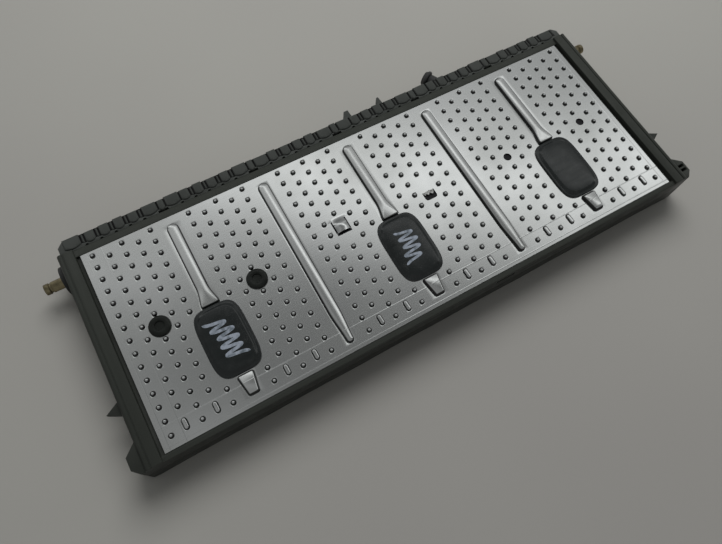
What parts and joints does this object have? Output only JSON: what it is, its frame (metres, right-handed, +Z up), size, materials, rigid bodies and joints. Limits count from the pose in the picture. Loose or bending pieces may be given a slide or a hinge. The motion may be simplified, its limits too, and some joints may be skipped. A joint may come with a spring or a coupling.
{
  "type": "ev battery module",
  "caption": "Flat rectangular battery module: pouch cells in a plastic frame under dimpled, ribbed sheet covers, with a stud terminal on each end.",
  "frame": {"origin": "middle of the module, on the crest of the middle rib underneath, which is the plane it rests on", "axes": "+X along the module, +Y towards the rear cover, +Z up"},
  "size_m": [0.403, 0.1579, 0.03],
  "materials": {
    "cover_sheet": "satin rolled",
    "frame_plastic": "satin moulded",
    "cover_plastic": "matte moulded",
    "cap_plastic": "matte moulded",
    "collar_plastic": "matte moulded",
    "pad_plastic": "gloss",
    "plug_rubber": "matte",
    "seal_rubber": "matte",
    "stud_brass": "turned, dulled",
    "conductor": "plated",
    "pouch_foil": "black film over foil",
    "foam": "matte"
  },
  "bodies": {
    "root": {"top_plate": "cover_sheet", "bottom_plate": "cover_sheet", "frame_upper": "frame_plastic", "frame_lower": "frame_plastic", "rear_cover": "cover_plastic", "rear_bolt": "cap_plastic", "pad_left": "pad_plastic", "pad_middle": "pad_plastic", "pad_right": "pad_plastic", "grommet_outer": "plug_rubber", "grommet_inner": "plug_rubber", "terminal_stud_left": "stud_brass", "terminal_stud_right": "stud_brass", "terminal_collar_left": "collar_plastic", "terminal_collar_right": "collar_plastic", "busbar_left": "conductor", "busbar_right": "conductor", "centre_link": "conductor", "cell_left_lower": "pouch_foil", "cell_left_upper": "pouch_foil", "cell_right_lower": "pouch_foil", "cell_right_upper": "pouch_foil", "foam_left": "foam", "foam_right": "foam", "seal_top": "seal_rubber", "seal_bottom": "seal_rubber"}
  },
  "joints": []
}
